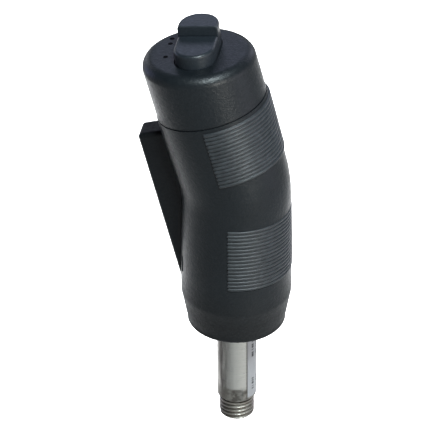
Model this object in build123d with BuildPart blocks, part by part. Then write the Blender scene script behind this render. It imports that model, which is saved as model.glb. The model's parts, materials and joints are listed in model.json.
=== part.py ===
from build123d import *
import os
from math import cos, degrees, pi, radians, sin, tan

# Power handle of an air ratchet, in millimetres.  The origin is the centre of the shoulder behind the
# nose thread, where the ratchet head seats.  +Z runs up the lower grip, the lever is on the -X side.

# ---- driving dimensions -------------------------------------------------------------------------
THREAD_RADIUS = 8.0          # M16 nose thread, major radius
THREAD_LENGTH = 10.5
THREAD_CHAMFER = 1.0
BARREL_RADIUS = 9.1
FLAT_ACROSS = 16.0           # wrench flats behind the thread
FLAT_LENGTH = 7.5

GRIP_BOTTOM = 42.6           # height of the lower end of the grip above the thread shoulder
KINK = 115.4                 # height at which the two grip axes cross
LEAN = radians(14.8)         # the upper grip leans towards the lever by this angle
BEND_RADIUS = 45.0           # of the grip's centre line
SEAM = 41.4                  # from the kink to the top edge of the grip, along the leaning axis
WALL = 3.0                   # grip and cap wall
GRIP_RADIUS = 24.95
GRIP_END_RADIUS = 22.35
GRIP_TAPER = (2.7, 16.6)     # the lower end widens between these heights above its edge
GRIP_TAPER_ROUND = 9.0
WAIST_RADIUS = 24.6          # section at the bend
WAIST_START = 34.0           # where the grip starts to narrow towards the bend, above its lower edge
GRIP_TOP_RADIUS = 25.05

PAD_DEPTH = 1.2              # ribbed pads are let into the grip by this much
RIB_PITCH = 1.87
LOWER_RISE = 0.3             # ribs of each pad stand this far above the grip
UPPER_RISE = 0.9
RIB_GROOVE = (0.8, 0.8)      # groove width and depth between two ribs
PAD_CROWN = 0.1
LOWER_PAD = (30.1, 61.9)     # lower and upper edge, above the grip's lower edge
UPPER_PAD = (11.6, 39.65)    # the same, above the kink along the leaning axis

GASKET = 0.5
CAP_RADIUS = 24.8
CAP_HEIGHT = 25.3            # seam to top face on the axis, with the gasket
CAP_TILT = radians(5.8)      # the top face leans less than the grip
CAP_EDGE = 4.8

BUTTON_RADIUS = 9.2          # the two buttons together make a stadium
BUTTON_SPAN = 32.0
BUTTON_OFFSET = 0.8
BUTTON_STEP = 2.8            # where the buttons part
BUTTON_GAP = 0.3
BUTTON_HEIGHT = 13.0
BUTTON_LOW = 6.5             # height above the cap when pressed in
BUTTON_TRAVEL = 4.5
SPOOL_RADIUS = 2.2
SPOOL_SPREAD = 7.4
ROCKER_DEPTH = 14.0          # rocker pin below the cap's top face
ROCKER_ARM = 6.0

LEVER_WIDTH = 12.4
LEVER_TOP = 33.5
LEVER_FACE = (35.7, 36.4)    # distance of the lever's outer face from the leaning axis, top and bottom
LEVER_TIP = -41.0
LEVER_INNER = 22.4           # how far the lever's inner edge lies from the grip axis
PIVOT = (-20.6, 75.5)        # x and z of the lever pin
PIN_RADIUS = 1.25
RUNNING = 0.05               # radial clearance of a running fit
FIT = 0.02                   # radial clearance of a part that is pushed in and stays

INLET_HEIGHT = 50.2          # inlet axis above the kink
INLET_RADIUS = 5.7
THROTTLE_HEIGHT = 14.0       # throttle valve axis above the kink

MOTOR_RADIUS = 16.0
SLEEVE_RADIUS = 17.2
BEARING_HEIGHT = 4.0
MODULE = 0.6
SUN_TEETH = 12
PLANET_TEETH = 12
RING_TEETH = 36
PLANETS = 3
VANES = 5

# ---- planes -------------------------------------------------------------------------------------
BEND_TANGENT = BEND_RADIUS * tan(LEAN / 2)
lean_plane = Plane(origin=(0, 0, KINK), x_dir=(cos(LEAN), 0, sin(LEAN)), z_dir=(-sin(LEAN), 0, cos(LEAN)))
upright_lean_plane = Plane(origin=(0, 0, KINK), x_dir=(cos(LEAN), 0, sin(LEAN)), z_dir=(0, -1, 0))
CAP_TOP = SEAM + CAP_HEIGHT
cap_top_plane = Plane(
    origin=lean_plane.from_local_coords((0, 0, CAP_TOP)),
    x_dir=(cos(CAP_TILT), 0, sin(CAP_TILT)),
    z_dir=(-sin(CAP_TILT), 0, cos(CAP_TILT)),
)


def lean_point(u, s):
    """World x and z of a point u across and s along the leaning axis."""
    point = lean_plane.from_local_coords((u, 0, s))
    return (point.X, point.Z)


def bar(plane, bottom, height, radius, at=(0, 0)):
    """Round bar from bottom up by height, square to the plane."""
    with BuildPart() as piece:
        with BuildSketch(plane.offset(bottom)):
            with Locations(at):
                Circle(radius)
        extrude(amount=height)
    return piece.part


def block(plane, bottom, height, width, depth, at=(0, 0)):
    """Rectangular block from bottom up by height, square to the plane."""
    with BuildPart() as piece:
        with BuildSketch(plane.offset(bottom)):
            with Locations(at):
                Rectangle(width, depth)
        extrude(amount=height)
    return piece.part


def ring(plane, bottom, height, outer, inner, at=(0, 0)):
    """Round ring from bottom up by height, square to the plane."""
    with BuildPart() as piece:
        with BuildSketch(plane.offset(bottom)):
            with Locations(at):
                Circle(outer)
                Circle(inner, mode=Mode.SUBTRACT)
        extrude(amount=height)
    return piece.part


def cross_plane(plane, point, direction):
    """Plane through a local point of another plane, facing along a local direction."""
    origin = plane.from_local_coords(point)
    tip = plane.from_local_coords(tuple(p + d for p, d in zip(point, direction)))
    return Plane(origin=origin, z_dir=tip - origin)


# ---- grip ---------------------------------------------------------------------------------------
def grip_form(inset):
    """The grip's outer form, made smaller all round by inset."""
    taper_bottom, taper_top = GRIP_TAPER
    bend_start = KINK - BEND_TANGENT
    with BuildPart() as form:
        # lower run, from the tapered end to the start of the bend
        with BuildSketch(Plane.XZ):
            with BuildLine():
                edge = FilletPolyline(
                    (GRIP_END_RADIUS - inset, GRIP_BOTTOM),
                    (GRIP_END_RADIUS - inset, GRIP_BOTTOM + taper_bottom),
                    (GRIP_RADIUS - inset, GRIP_BOTTOM + taper_top),
                    (GRIP_RADIUS - inset, GRIP_BOTTOM + WAIST_START),
                    radius=GRIP_TAPER_ROUND,
                )
                waist = Spline(edge @ 1, (WAIST_RADIUS - inset, bend_start), tangents=((0, 1), (0, 1)))
                Polyline(waist @ 1, (0, bend_start), (0, GRIP_BOTTOM), edge @ 0)
            make_face()
        revolve(axis=Axis.Z)
        # bend
        with BuildSketch(Plane.XY.offset(bend_start)):
            Circle(WAIST_RADIUS - inset)
        revolve(axis=Axis((-BEND_RADIUS, 0, bend_start), (0, -1, 0)), revolution_arc=degrees(LEAN))
        # upper run, up to the seam
        with BuildSketch(upright_lean_plane):
            with BuildLine():
                waist = Spline(
                    (WAIST_RADIUS - inset, BEND_TANGENT),
                    (GRIP_TOP_RADIUS - inset, SEAM),
                    tangents=((0, 1), (0, 1)),
                )
                Polyline(waist @ 1, (0, SEAM), (0, BEND_TANGENT), waist @ 0)
            make_face()
        revolve(axis=Axis(lean_plane.origin, lean_plane.z_dir))
    return form.part


def half_slab(plane, edges):
    """Slab on the palm side of a plane's Y-Z plane, between two heights above the plane."""
    low, high = edges
    with BuildPart() as slab:
        with BuildSketch(plane.offset(low)):
            Rectangle(40, 80, align=(Align.MIN, Align.CENTER))
        extrude(amount=high - low)
    return slab.part


outer_form = grip_form(0)
pad_seat_form = grip_form(PAD_DEPTH)
bore_form = grip_form(WALL)


def pad_blank(plane, edges, rise):
    """The layer that a ribbed pad fills, up to the tops of its ribs."""
    with BuildPart() as blank:
        add(grip_form(-rise))
        add(pad_seat_form, mode=Mode.SUBTRACT)
        add(half_slab(plane, edges), mode=Mode.INTERSECT)
    return blank.part


def ribbed_pad(blank, plane, edges, rise):
    """Pad with fine ribs across the grip."""
    low, high = edges
    groove_width, groove_depth = RIB_GROOVE
    count = round((high - low) / RIB_PITCH)
    pitch = (high - low) / count
    floor = GRIP_RADIUS + rise - PAD_CROWN - groove_depth
    with BuildPart() as pad:
        add(blank)
        for index in range(1, count):
            bottom = low + index * pitch - groove_width / 2
            add(ring(plane, bottom, groove_width, floor + 4, floor), mode=Mode.SUBTRACT)
    return pad.part


lower_plane = Plane.XY.offset(GRIP_BOTTOM)
lower_blank = pad_blank(lower_plane, LOWER_PAD, LOWER_RISE)
upper_blank = pad_blank(lean_plane, UPPER_PAD, UPPER_RISE)

with BuildPart() as lower_grip_pad:
    add(ribbed_pad(lower_blank, lower_plane, LOWER_PAD, LOWER_RISE))

with BuildPart() as upper_grip_pad:
    add(ribbed_pad(upper_blank, lean_plane, UPPER_PAD, UPPER_RISE))

SLOT_WIDTH = LEVER_WIDTH + 0.7
SLOT_INNER = -17.0
SLOT_OUTER = -32.0
SLOT_BOTTOM = lean_point(-LEVER_FACE[1], LEVER_TIP)[1] - 1.2
SLOT_TOP = LEVER_TOP + 2.0
EXHAUST_RADIUS = 18.6
EXHAUST_SLOTS = 8
EXHAUST_ARC = 28
EXHAUST_WIDTH = 2.2
GRIP_END_EDGE = 1.6
BARREL_GAP = 0.1

LUG_WIDTH = 10.4

with BuildPart() as grip_hollow:
    add(bore_form)
    add(bar(Plane.XY, GRIP_BOTTOM - 1, WALL + 1, 40), mode=Mode.SUBTRACT)

with BuildPart() as lever_slot:
    with BuildSketch(Plane.XZ.offset(-SLOT_WIDTH / 2)):
        with BuildLine():
            Polyline(
                (SLOT_INNER, SLOT_BOTTOM),
                (SLOT_OUTER, SLOT_BOTTOM),
                lean_point(SLOT_OUTER, SLOT_TOP),
                lean_point(SLOT_INNER, SLOT_TOP),
                lean_point(SLOT_INNER, 4.0),
                (SLOT_INNER, KINK - 8.0),
                close=True,
            )
        make_face()
    extrude(amount=SLOT_WIDTH)

with BuildPart() as grip_housing:
    add(outer_form)
    fillet(grip_housing.faces().sort_by(Axis.Z)[0].edges(), radius=GRIP_END_EDGE)
    add(grip_hollow.part, mode=Mode.SUBTRACT)
    add(block(Plane.XZ, -LUG_WIDTH, 2 * LUG_WIDTH, 5.2, 8, at=(PIVOT[0] + 0.1, PIVOT[1])))
    add(lever_slot.part, mode=Mode.SUBTRACT)
    add(bar(Plane.XZ, -LUG_WIDTH, 2 * LUG_WIDTH, PIN_RADIUS, at=PIVOT), mode=Mode.SUBTRACT)
    add(bar(Plane.XY, GRIP_BOTTOM, WALL, BARREL_RADIUS + BARREL_GAP), mode=Mode.SUBTRACT)
    with BuildSketch(Plane.XY.offset(GRIP_BOTTOM)):
        with PolarLocations(0, EXHAUST_SLOTS):
            SlotArc(CenterArc((0, 0), EXHAUST_RADIUS, -EXHAUST_ARC / 2, EXHAUST_ARC), height=EXHAUST_WIDTH)
    extrude(amount=WALL, mode=Mode.SUBTRACT)
    add(lower_blank, mode=Mode.SUBTRACT)
    add(upper_blank, mode=Mode.SUBTRACT)


# ---- motor housing and nose ----------------------------------------------------------------------
FLANGE_BOTTOM = GRIP_BOTTOM + WALL
FLANGE_TOP = FLANGE_BOTTOM + 4.5
GEAR_TOP = FLANGE_TOP + 11.0
LINER_BOTTOM = GEAR_TOP + 5.0
LINER_TOP = LINER_BOTTOM + 25.0
REAR_TOP = LINER_TOP + 8.0
SLEEVE_TOP = REAR_TOP + 2.0
BORE_RADIUS = 6.1
BEARING_RADIUS = 9.5
SHIELD_THICKNESS = 0.4
SHIELD_INSET = 1.2
NOSE_TIP = 1.0 - THREAD_LENGTH
NOSE_BUSH_LENGTH = 11.0
SPINDLE_RADIUS = 4.0
SHOULDER_CHAMFER = 1.1

with BuildPart() as motor_housing:
    with BuildSketch(Plane.XZ):
        with BuildLine():
            Polyline(
                (BORE_RADIUS, -THREAD_LENGTH),
                (THREAD_RADIUS - THREAD_CHAMFER, -THREAD_LENGTH),
                (THREAD_RADIUS, THREAD_CHAMFER - THREAD_LENGTH),
                (THREAD_RADIUS, 0),
                (BARREL_RADIUS, SHOULDER_CHAMFER),
                (BARREL_RADIUS, FLANGE_BOTTOM),
                (SLEEVE_RADIUS, FLANGE_BOTTOM),
                (SLEEVE_RADIUS, SLEEVE_TOP),
                (MOTOR_RADIUS, SLEEVE_TOP),
                (MOTOR_RADIUS, FLANGE_TOP),
                (BEARING_RADIUS, FLANGE_TOP),
                (BEARING_RADIUS, FLANGE_TOP - BEARING_HEIGHT),
                (BORE_RADIUS, FLANGE_TOP - BEARING_HEIGHT),
                close=True,
            )
        make_face()
    revolve(axis=Axis.Z)
    for side in (-1, 1):
        flat_centre = side * (FLAT_ACROSS / 2 + 5)
        add(block(Plane.XY, 0, FLAT_LENGTH, 20, 10, at=(0, flat_centre)), mode=Mode.SUBTRACT)
    # exhaust windows over the liner's ports
    with BuildSketch(Plane.YZ):
        with Locations((0, LINER_BOTTOM + 8), (0, LINER_BOTTOM + 17)):
            SlotOverall(12, 4)
    extrude(amount=SLEEVE_RADIUS + 1, mode=Mode.SUBTRACT)

LABEL_SPAN = (-48, 20)
LABEL_BOTTOM = 2.2
LABEL_THICKNESS = 0.12

with BuildPart() as rating_label:
    with BuildSketch(Plane.XY.offset(LABEL_BOTTOM)):
        with BuildLine():
            start, stop = LABEL_SPAN
            outside = CenterArc((0, 0), BARREL_RADIUS + LABEL_THICKNESS, start, stop - start)
            inside = CenterArc((0, 0), BARREL_RADIUS, start, stop - start)
            Line(outside @ 0, inside @ 0)
            Line(outside @ 1, inside @ 1)
        make_face()
    extrude(amount=GRIP_BOTTOM - LABEL_BOTTOM - 0.2)

with BuildPart() as nose_bush:
    add(ring(Plane.XY, NOSE_TIP, NOSE_BUSH_LENGTH, BORE_RADIUS, SPINDLE_RADIUS + RUNNING))

with BuildPart() as spindle_bearing:
    add(ring(Plane.XY, FLANGE_TOP - BEARING_HEIGHT, BEARING_HEIGHT, BEARING_RADIUS, SPINDLE_RADIUS + RUNNING))
    shield = ring(Plane.XY, 0, SHIELD_THICKNESS, BEARING_RADIUS - SHIELD_INSET, SPINDLE_RADIUS + SHIELD_INSET)
    for height in (FLANGE_TOP - BEARING_HEIGHT, FLANGE_TOP - SHIELD_THICKNESS):
        add(shield.moved(Location((0, 0, height))), mode=Mode.SUBTRACT)

# ---- planetary stage -----------------------------------------------------------------------------
CARRIER_BOTTOM = FLANGE_TOP + 0.6
CARRIER_THICKNESS = 2.4
GEAR_BOTTOM = CARRIER_BOTTOM + CARRIER_THICKNESS + 0.4
GEAR_WIDTH = 5.5
PLANET_ORBIT = MODULE * (SUN_TEETH + PLANET_TEETH) / 2
PLANET_PIN_RADIUS = 1.2
SHAFT_RADIUS = 2.0
CARRIER_RADIUS = 9.9
DRIVE_SOCKET = (2.5, 9.0)    # hexagon across its flats by half, and its depth
TOOTH_ROOT = 1.15            # in modules from the pitch circle
TOOTH_TIP = 0.8
PINION_TOOTH = (1.95, 0.62)  # half widths at root and tip, as an angle times the number of teeth
RING_TOOTH = (1.75, 0.75)


def tooth_points(teeth, root, tip, half_angles, start_angle):
    """Corners of straight-flanked teeth round a gear."""
    root_half, tip_half = half_angles
    points = []
    for tooth in range(teeth):
        middle = start_angle + 2 * pi * tooth / teeth
        for radius, offset in ((root, -root_half), (tip, -tip_half), (tip, tip_half), (root, root_half)):
            angle = middle + offset / teeth
            points.append((radius * cos(angle), radius * sin(angle)))
    return points


def pinion(teeth, bore, start_angle):
    """Small outside gear, standing on the gear plane, centred on the origin."""
    root = MODULE * (teeth / 2 - TOOTH_ROOT)
    tip = MODULE * (teeth / 2 + TOOTH_TIP)
    with BuildPart() as gear:
        with BuildSketch(Plane.XY.offset(GEAR_BOTTOM)):
            with BuildLine():
                Polyline(*tooth_points(teeth, root, tip, PINION_TOOTH, start_angle), close=True)
            make_face()
            Circle(bore, mode=Mode.SUBTRACT)
        extrude(amount=GEAR_WIDTH)
    return gear.part


with BuildPart() as ring_gear:
    with BuildSketch(Plane.XY.offset(FLANGE_TOP)):
        Circle(MOTOR_RADIUS - FIT)
        with BuildLine():
            ring_root = MODULE * (RING_TEETH / 2 + TOOTH_ROOT)
            ring_tip = MODULE * (RING_TEETH / 2 - TOOTH_TIP)
            Polyline(*tooth_points(RING_TEETH, ring_root, ring_tip, RING_TOOTH, 0), close=True)
        make_face(mode=Mode.SUBTRACT)
    extrude(amount=GEAR_TOP - FLANGE_TOP)

with BuildPart() as output_spindle:
    socket_radius, socket_depth = DRIVE_SOCKET
    add(bar(Plane.XY, CARRIER_BOTTOM, CARRIER_THICKNESS, CARRIER_RADIUS))
    add(bar(Plane.XY, NOSE_TIP, CARRIER_BOTTOM - NOSE_TIP, SPINDLE_RADIUS))
    with BuildSketch(Plane.XY.offset(NOSE_TIP)):
        RegularPolygon(radius=socket_radius, side_count=6, major_radius=False)
    extrude(amount=socket_depth, mode=Mode.SUBTRACT)
    with BuildSketch(Plane.XY.offset(CARRIER_BOTTOM)):
        with PolarLocations(PLANET_ORBIT, PLANETS):
            Circle(PLANET_PIN_RADIUS)
    extrude(amount=CARRIER_THICKNESS, mode=Mode.SUBTRACT)

with BuildPart() as planet_pins:
    with BuildSketch(Plane.XY.offset(CARRIER_BOTTOM)):
        with PolarLocations(PLANET_ORBIT, PLANETS):
            Circle(PLANET_PIN_RADIUS)
    extrude(amount=CARRIER_THICKNESS + GEAR_WIDTH + 0.8)

planet = pinion(PLANET_TEETH, PLANET_PIN_RADIUS + RUNNING, pi / PLANET_TEETH)
planet_gears = []
for index in range(PLANETS):
    angle = 2 * pi * index / PLANETS
    placed = planet.moved(Location((PLANET_ORBIT * cos(angle), PLANET_ORBIT * sin(angle), 0)))
    with BuildPart() as planet_gear:
        add(placed)
    planet_gears.append(planet_gear)

with BuildPart() as sun_pinion:
    add(pinion(SUN_TEETH, SHAFT_RADIUS, 0))

# ---- vane motor ----------------------------------------------------------------------------------
ROTOR_RADIUS = 11.3
LINER_BORE = 12.5
LINER_OFFSET = 1.0           # the liner's bore is off centre, which makes the crescent
VANE_THICKNESS = 1.0
VANE_ROOT = 5.6
SMALL_BEARING_RADIUS = 5.5
ROTOR_END_GAP = 0.3
VANE_END_GAP = 0.4
LINER_PORT_RADIUS = 1.2
PORT_RADIUS = 1.8
PORTS = ((-8.5, 8.0), (-8.5, -8.0))

with BuildPart() as front_end_plate:
    add(bar(Plane.XY, GEAR_TOP, LINER_BOTTOM - GEAR_TOP, MOTOR_RADIUS - FIT))
    add(bar(Plane.XY, GEAR_TOP, LINER_BOTTOM - GEAR_TOP, SHAFT_RADIUS + 0.4), mode=Mode.SUBTRACT)
    add(bar(Plane.XY, GEAR_TOP, BEARING_HEIGHT + 0.2, SMALL_BEARING_RADIUS), mode=Mode.SUBTRACT)

with BuildPart() as front_bearing:
    add(ring(Plane.XY, GEAR_TOP + 0.2, BEARING_HEIGHT, SMALL_BEARING_RADIUS, SHAFT_RADIUS + RUNNING))

with BuildPart() as cylinder_liner:
    add(bar(Plane.XY, LINER_BOTTOM, LINER_TOP - LINER_BOTTOM, MOTOR_RADIUS - FIT))
    add(
        bar(Plane.XY, LINER_BOTTOM, LINER_TOP - LINER_BOTTOM, LINER_BORE, at=(LINER_OFFSET, 0)),
        mode=Mode.SUBTRACT,
    )
    with BuildSketch(Plane.YZ):
        with GridLocations(4, 9, 2, 2):
            with Locations((0, LINER_BOTTOM + 12.5)):
                Circle(LINER_PORT_RADIUS)
    extrude(amount=MOTOR_RADIUS + 1, mode=Mode.SUBTRACT)

with BuildPart() as rotor:
    rotor_bottom = LINER_BOTTOM + ROTOR_END_GAP
    rotor_length = LINER_TOP - LINER_BOTTOM - 2 * ROTOR_END_GAP
    add(bar(Plane.XY, rotor_bottom, rotor_length, ROTOR_RADIUS))
    add(bar(Plane.XY, GEAR_BOTTOM - 0.2, LINER_TOP + 4.4 - GEAR_BOTTOM, SHAFT_RADIUS))
    with BuildSketch(Plane.XY.offset(rotor_bottom)):
        with PolarLocations(VANE_ROOT, VANES):
            Rectangle(10, VANE_THICKNESS + 0.1, align=(Align.MIN, Align.CENTER))
    extrude(amount=rotor_length, mode=Mode.SUBTRACT)

with BuildPart() as rotor_vanes:
    with BuildSketch(Plane.XY.offset(LINER_BOTTOM + VANE_END_GAP)):
        with PolarLocations(VANE_ROOT + 0.1, VANES):
            Rectangle(ROTOR_RADIUS - VANE_ROOT - 0.2, VANE_THICKNESS, align=(Align.MIN, Align.CENTER))
    extrude(amount=LINER_TOP - LINER_BOTTOM - 2 * VANE_END_GAP)

with BuildPart() as rear_end_plate:
    add(bar(Plane.XY, LINER_TOP, REAR_TOP - LINER_TOP, MOTOR_RADIUS - FIT))
    add(bar(Plane.XY, LINER_TOP, BEARING_HEIGHT + 0.2, SMALL_BEARING_RADIUS), mode=Mode.SUBTRACT)
    for port in PORTS:
        add(bar(Plane.XY, LINER_TOP, REAR_TOP - LINER_TOP, PORT_RADIUS, at=port), mode=Mode.SUBTRACT)

with BuildPart() as rear_bearing:
    add(ring(Plane.XY, LINER_TOP + 0.2, BEARING_HEIGHT, SMALL_BEARING_RADIUS, SHAFT_RADIUS + RUNNING))

LOCK_RING_INNER = 14.6

with BuildPart() as motor_lock_ring:
    add(ring(Plane.XY, REAR_TOP, SLEEVE_TOP - REAR_TOP, MOTOR_RADIUS - FIT, LOCK_RING_INNER))
    for side in (-1, 1):
        notch = block(Plane.XY, SLEEVE_TOP - 1, 1, 3, 3, at=(0, side * MOTOR_RADIUS))
        add(notch, mode=Mode.SUBTRACT)

with BuildPart() as manifold_gasket:
    add(bar(Plane.XY, REAR_TOP, GASKET, LOCK_RING_INNER - 0.2))
    for port in PORTS:
        add(bar(Plane.XY, REAR_TOP, GASKET, PORT_RADIUS, at=port), mode=Mode.SUBTRACT)

MUFFLER_RADIUS = 19.1
MUFFLER_LENGTH = 6.0

with BuildPart() as exhaust_muffler:
    add(ring(Plane.XY, FLANGE_BOTTOM + 0.1, MUFFLER_LENGTH, MUFFLER_RADIUS, SLEEVE_RADIUS + 0.2))

# ---- valve body ----------------------------------------------------------------------------------
THROTTLE_BORE = 4.5
THROTTLE_FACE = -13.5        # where the throttle valve comes out, across the leaning axis
THROTTLE_PLUG = 6.5
CORE_FACE = 9.5
COLLAR_TOP = 47.0
SPOOL_BOTTOM = -54.0
COLLAR_RADIUS = (21.6, 19.4)
SUPPLY_RADIUS = 1.6
THROTTLE_DRILLING = (-9.0, 1.5)
FEED_RADIUS = 1.4
FEED_OFFSET = -7.5
FEED_RISE = 14.0             # feed drilling above the throttle valve
POCKET_WIDTH = 15.0
POCKET_FACE = -16.2
POCKET_OUTER = -40.0

valve_form = grip_form(WALL + 0.35)
throttle_plane = Plane(
    origin=lean_plane.from_local_coords((0, 0, THROTTLE_HEIGHT)),
    x_dir=(0, 1, 0),
    z_dir=(cos(LEAN), 0, sin(LEAN)),
)
supply_plane = Plane(
    origin=lean_plane.from_local_coords((3.0, 0, THROTTLE_HEIGHT)),
    x_dir=(cos(LEAN), 0, sin(LEAN)),
    z_dir=(0, 1, 0),
)
feed_plane = Plane(
    origin=lean_plane.from_local_coords((FEED_OFFSET, 0, THROTTLE_HEIGHT + FEED_RISE)),
    x_dir=(cos(LEAN), 0, sin(LEAN)),
    z_dir=(0, 1, 0),
)
inlet_plane = Plane(
    origin=lean_plane.from_local_coords((0, 0, INLET_HEIGHT)),
    x_dir=(cos(LEAN), 0, sin(LEAN)),
    z_dir=(0, 1, 0),
)
SPOOLS = ((BUTTON_OFFSET, -SPOOL_SPREAD), (BUTTON_OFFSET, SPOOL_SPREAD))
TRANSFER = (0.0, 12.7)
TRANSFER_RADIUS = 2.0

with BuildPart() as lever_pocket:
    with BuildSketch(Plane.XZ.offset(-POCKET_WIDTH / 2)):
        with BuildLine():
            Polyline(
                (POCKET_OUTER, REAR_TOP - 4),
                (POCKET_FACE, REAR_TOP - 4),
                (POCKET_FACE, KINK - 1.0),
                lean_point(THROTTLE_FACE, 3.0),
                lean_point(THROTTLE_FACE, SLOT_TOP + 0.5),
                lean_point(POCKET_OUTER, SLOT_TOP + 0.5),
                close=True,
            )
        make_face()
    extrude(amount=POCKET_WIDTH)

with BuildPart() as valve_body:
    add(valve_form)
    add(bar(Plane.XY, 0, SLEEVE_TOP + 0.3, 60), mode=Mode.SUBTRACT)
    add(bar(lean_plane, SEAM - 0.4, 10, 60), mode=Mode.SUBTRACT)
    add(bar(Plane.XY, REAR_TOP + GASKET, 3.0, LOCK_RING_INNER - 0.2))
    add(ring(lean_plane, SEAM - 0.6, COLLAR_TOP - SEAM + 0.6, *COLLAR_RADIUS))
    add(block(lean_plane, SEAM - 0.4, 10, 21.6, 30, at=(0, 15)), mode=Mode.SUBTRACT)
    add(lever_pocket.part, mode=Mode.SUBTRACT)
    add(block(lean_plane, -2, SEAM - 6, 30, 26, at=(CORE_FACE + 15, 0)), mode=Mode.SUBTRACT)
    throttle_length = CORE_FACE - THROTTLE_FACE + 2
    add(bar(throttle_plane, THROTTLE_FACE - 1, throttle_length, THROTTLE_BORE), mode=Mode.SUBTRACT)
    add(bar(supply_plane, 0, 30, SUPPLY_RADIUS), mode=Mode.SUBTRACT)
    add(bar(lean_plane, THROTTLE_HEIGHT, 30, TRANSFER_RADIUS, at=TRANSFER), mode=Mode.SUBTRACT)
    drilling_place, drilling_radius = THROTTLE_DRILLING
    drilling = bar(lean_plane, THROTTLE_HEIGHT, FEED_RISE, drilling_radius, at=(drilling_place, 0))
    add(drilling, mode=Mode.SUBTRACT)
    add(bar(feed_plane, -SPOOL_SPREAD, 2 * SPOOL_SPREAD, FEED_RADIUS), mode=Mode.SUBTRACT)
    for spool, port in zip(SPOOLS, PORTS):
        add(bar(cap_top_plane, SPOOL_BOTTOM, 50, SPOOL_RADIUS + RUNNING, at=spool), mode=Mode.SUBTRACT)
        add(bar(Plane.XY, REAR_TOP, KINK + 22 - REAR_TOP, PORT_RADIUS, at=port), mode=Mode.SUBTRACT)

# ---- throttle valve ------------------------------------------------------------------------------
STEM_RADIUS = 1.5
STEM_TIP = -19.0
SEAT_FACE = -7.0
POPPET_THICKNESS = 2.3
SPRING_WIRE = 0.35
SPRING_RADIUS = 2.9
SPRING_TURNS = 5
POPPET_RADIUS = 3.9
SPRING_GUIDE = (2.2, 1.5)
THROTTLE_SOCKET = 2.0
STEM_HEAD = SEAT_FACE + 0.1

with BuildPart() as throttle_bushing:
    length = SEAT_FACE - THROTTLE_FACE
    add(ring(throttle_plane, THROTTLE_FACE, length, THROTTLE_BORE, STEM_RADIUS + RUNNING))
    add(ring(throttle_plane, THROTTLE_FACE + 3.0, length - 3.0, 2.7, STEM_RADIUS), mode=Mode.SUBTRACT)

with BuildPart() as throttle_stem:
    add(bar(throttle_plane, STEM_TIP, STEM_HEAD - STEM_TIP, STEM_RADIUS))
    fillet(throttle_stem.edges().sort_by(Axis.X)[0], radius=0.9)

with BuildPart() as throttle_poppet:
    guide_radius, guide_length = SPRING_GUIDE
    add(bar(throttle_plane, STEM_HEAD, POPPET_THICKNESS, POPPET_RADIUS))
    add(bar(throttle_plane, STEM_HEAD + POPPET_THICKNESS, guide_length, guide_radius))

with BuildPart() as throttle_spring:
    spring_start = STEM_HEAD + POPPET_THICKNESS + SPRING_WIRE
    spring_length = THROTTLE_PLUG - spring_start - SPRING_WIRE
    with BuildLine():
        coil = Helix(
            pitch=spring_length / SPRING_TURNS,
            height=spring_length,
            radius=SPRING_RADIUS,
            center=throttle_plane.offset(spring_start).origin,
            direction=throttle_plane.z_dir,
        )
    with BuildSketch(Plane(origin=coil @ 0, z_dir=coil % 0)):
        Circle(SPRING_WIRE)
    sweep()

with BuildPart() as throttle_plug:
    add(bar(throttle_plane, THROTTLE_PLUG, CORE_FACE + 1.5 - THROTTLE_PLUG, THROTTLE_BORE))
    with BuildSketch(throttle_plane.offset(CORE_FACE)):
        RegularPolygon(radius=THROTTLE_SOCKET, side_count=6, major_radius=False)
    extrude(amount=2, mode=Mode.SUBTRACT)

# ---- lever ---------------------------------------------------------------------------------------
LEVER_SKIN = 2.5
LEVER_CHEEK = 2.1
KNUCKLE_RADIUS = 2.7
POST_WIDTH = 4.0
LEVER_EDGE = 2.0
HOLLOW_INNER = -15.0
HOLLOW_BOTTOM = PIVOT[1] + 9.0
lever_tip = lean_point(-LEVER_FACE[1], LEVER_TIP)
lever_head = lean_point(-LEVER_FACE[0], LEVER_TOP)


def lever_slice(width, points):
    """Upright slice centred on the mid-plane, with this outline in X and Z."""
    with BuildPart() as piece:
        with BuildSketch(Plane.XZ.offset(-width / 2)):
            with BuildLine():
                Polyline(*points, close=True)
            make_face()
        extrude(amount=width)
    return piece.part


lever_blank = lever_slice(
    LEVER_WIDTH,
    (
        lever_tip,
        lever_head,
        lean_point(-LEVER_INNER, LEVER_TOP),
        lean_point(-LEVER_INNER, 9.0),
        (-LEVER_INNER, KINK - 9.0),
        (-LEVER_INNER, lever_tip[1]),
    ),
)
lever_hollow = lever_slice(
    LEVER_WIDTH - 2 * LEVER_CHEEK,
    (
        lean_point(-LEVER_FACE[1] + LEVER_SKIN, -20.0),
        lean_point(-LEVER_FACE[0] + LEVER_SKIN, LEVER_TOP - LEVER_SKIN),
        lean_point(HOLLOW_INNER, LEVER_TOP - LEVER_SKIN),
        lean_point(HOLLOW_INNER, 4.0),
        (HOLLOW_INNER, HOLLOW_BOTTOM),
        (-LEVER_INNER - 1.0, HOLLOW_BOTTOM),
    ),
)
cheek_gap = lever_slice(
    LEVER_WIDTH - 2 * LEVER_CHEEK,
    (
        (-LEVER_INNER, PIVOT[1] - 5),
        (-LEVER_INNER, HOLLOW_BOTTOM),
        (HOLLOW_INNER, HOLLOW_BOTTOM),
        (HOLLOW_INNER, PIVOT[1] - 5),
    ),
)

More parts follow.
